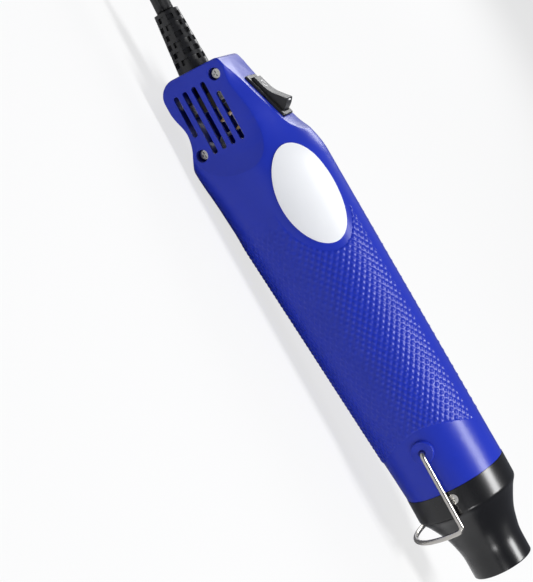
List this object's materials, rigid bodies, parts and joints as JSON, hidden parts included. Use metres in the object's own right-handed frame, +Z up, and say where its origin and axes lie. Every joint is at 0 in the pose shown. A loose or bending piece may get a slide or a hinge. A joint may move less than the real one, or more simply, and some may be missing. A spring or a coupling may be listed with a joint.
{
  "type": "embossing heat tool",
  "caption": "Hand-held hot-air embossing tool: tapered oval grip, turned nozzle, sloping rocker switch, slotted cheeks, wire bail stand and flat cord with plug.",
  "frame": {"origin": "middle of the tool's length and width without its cord, on the surface that its belly rests on", "axes": "+X along the tool towards the nozzle, +Y to the side away from the label, +Z up, the switch side"},
  "size_m": [0.481, 0.0578, 0.0511],
  "materials": {
    "blue_shell": "satin moulded plastic",
    "screw_steel": "zinc plated",
    "white_label": "satin film",
    "black_nozzle": "polished heat-resistant moulding",
    "tube_steel": "brushed",
    "mica": "pressed mica",
    "heater_wire": "oxidised resistance wire",
    "cutout_metal": "plain",
    "motor_steel": "zinc plated",
    "board_plastic": "resin board",
    "contact_brass": "plain",
    "magnet_grey": "sintered",
    "core_iron": "laminated",
    "winding_copper": "enamelled wire",
    "diode_black": "moulded",
    "fan_plastic": "moulded",
    "duct_plastic": "heat-resistant moulding",
    "lead_insulation": "woven glass sleeving",
    "switch_black": "moulded",
    "rocker_black": "moulded, white marks",
    "relief_rubber": "moulded",
    "cord_rubber": "smooth sheath",
    "bail_steel": "bright plated wire"
  },
  "bodies": {
    "body": {"near_shell": "blue_shell", "far_shell": "blue_shell", "shell_screws": "screw_steel", "label_plate": "white_label", "nozzle": "black_nozzle", "nozzle_screws": "screw_steel", "heater_tube": "tube_steel", "mica_sleeve": "mica", "tube_spacer": "mica", "mica_former": "mica", "heater_coil": "heater_wire", "thermal_cutout": "cutout_metal", "outlet_grille": "tube_steel", "motor_can": "motor_steel", "motor_end_cap": "board_plastic", "motor_terminals": "contact_brass", "motor_magnets": "magnet_grey", "motor_brushes": "contact_brass", "rectifier_board": "board_plastic", "bridge_diodes": "diode_black", "fan_duct": "duct_plastic", "heater_leads": "lead_insulation", "switch_housing": "switch_black", "switch_terminals": "contact_brass", "strain_relief": "relief_rubber", "inner_cord": "cord_rubber", "cord_clamp": "board_plastic", "clamp_screws": "screw_steel", "supply_leads": "lead_insulation", "power_cord": "cord_rubber", "cord_hank": "cord_rubber", "cord_tie": "cord_rubber", "plug": "relief_rubber", "plug_blades": "contact_brass"},
    "rotor": {"motor_shaft": "motor_steel", "armature_core": "core_iron", "armature_windings": "winding_copper", "commutator": "contact_brass", "fan_wheel": "fan_plastic"},
    "rocker": {"switch_rocker": "rocker_black"},
    "bail": {"bail_stand": "bail_steel"}
  },
  "joints": [
    {"name": "fan_spin", "type": "hinge", "parent": "body", "child": "rotor", "pos_m": [-0.01, 0, 0.03027], "axis": [1, 0, 0], "continuous": true},
    {"name": "rocker_tilt", "type": "hinge", "parent": "body", "child": "rocker", "pos_m": [-0.07769, 0, 0.03804], "axis": [0, 1, 0], "range_deg": [0, 24]},
    {"name": "bail_swing", "type": "hinge", "parent": "body", "child": "bail", "pos_m": [0.0674, 0, 0.02887], "axis": [0, 1, 0], "range_deg": [0, 105]}
  ]
}
